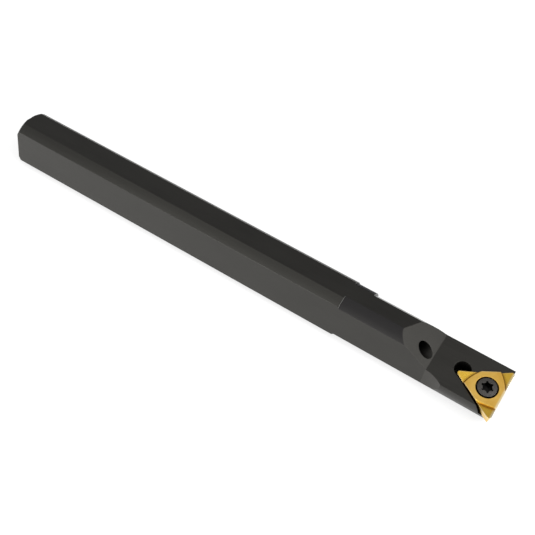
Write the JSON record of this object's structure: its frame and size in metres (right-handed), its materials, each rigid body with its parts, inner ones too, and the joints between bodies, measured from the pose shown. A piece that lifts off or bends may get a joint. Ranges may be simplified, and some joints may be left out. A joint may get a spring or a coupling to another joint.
{
  "type": "boring bar",
  "caption": "Slim round steel bar with clamping flats that carries a small triangular cutting insert for turning the inside of a hole, with a coolant way through it.",
  "frame": {"origin": "middle of the tail face, on the axis of the shank, where the coolant way opens", "axes": "+X along the shank from the tail to the head, +Z out of the top flat, and -Y towards the cutting corner"},
  "size_m": [0.1, 0.011, 0.0088],
  "materials": {
    "bar": "satin black oxide",
    "insert_coating": "satin golden nitride coating",
    "screw": "smooth black oxide"
  },
  "bodies": {
    "root": {"bar": "bar", "cutting_insert": "insert_coating", "clamp_screw": "screw"}
  },
  "joints": []
}
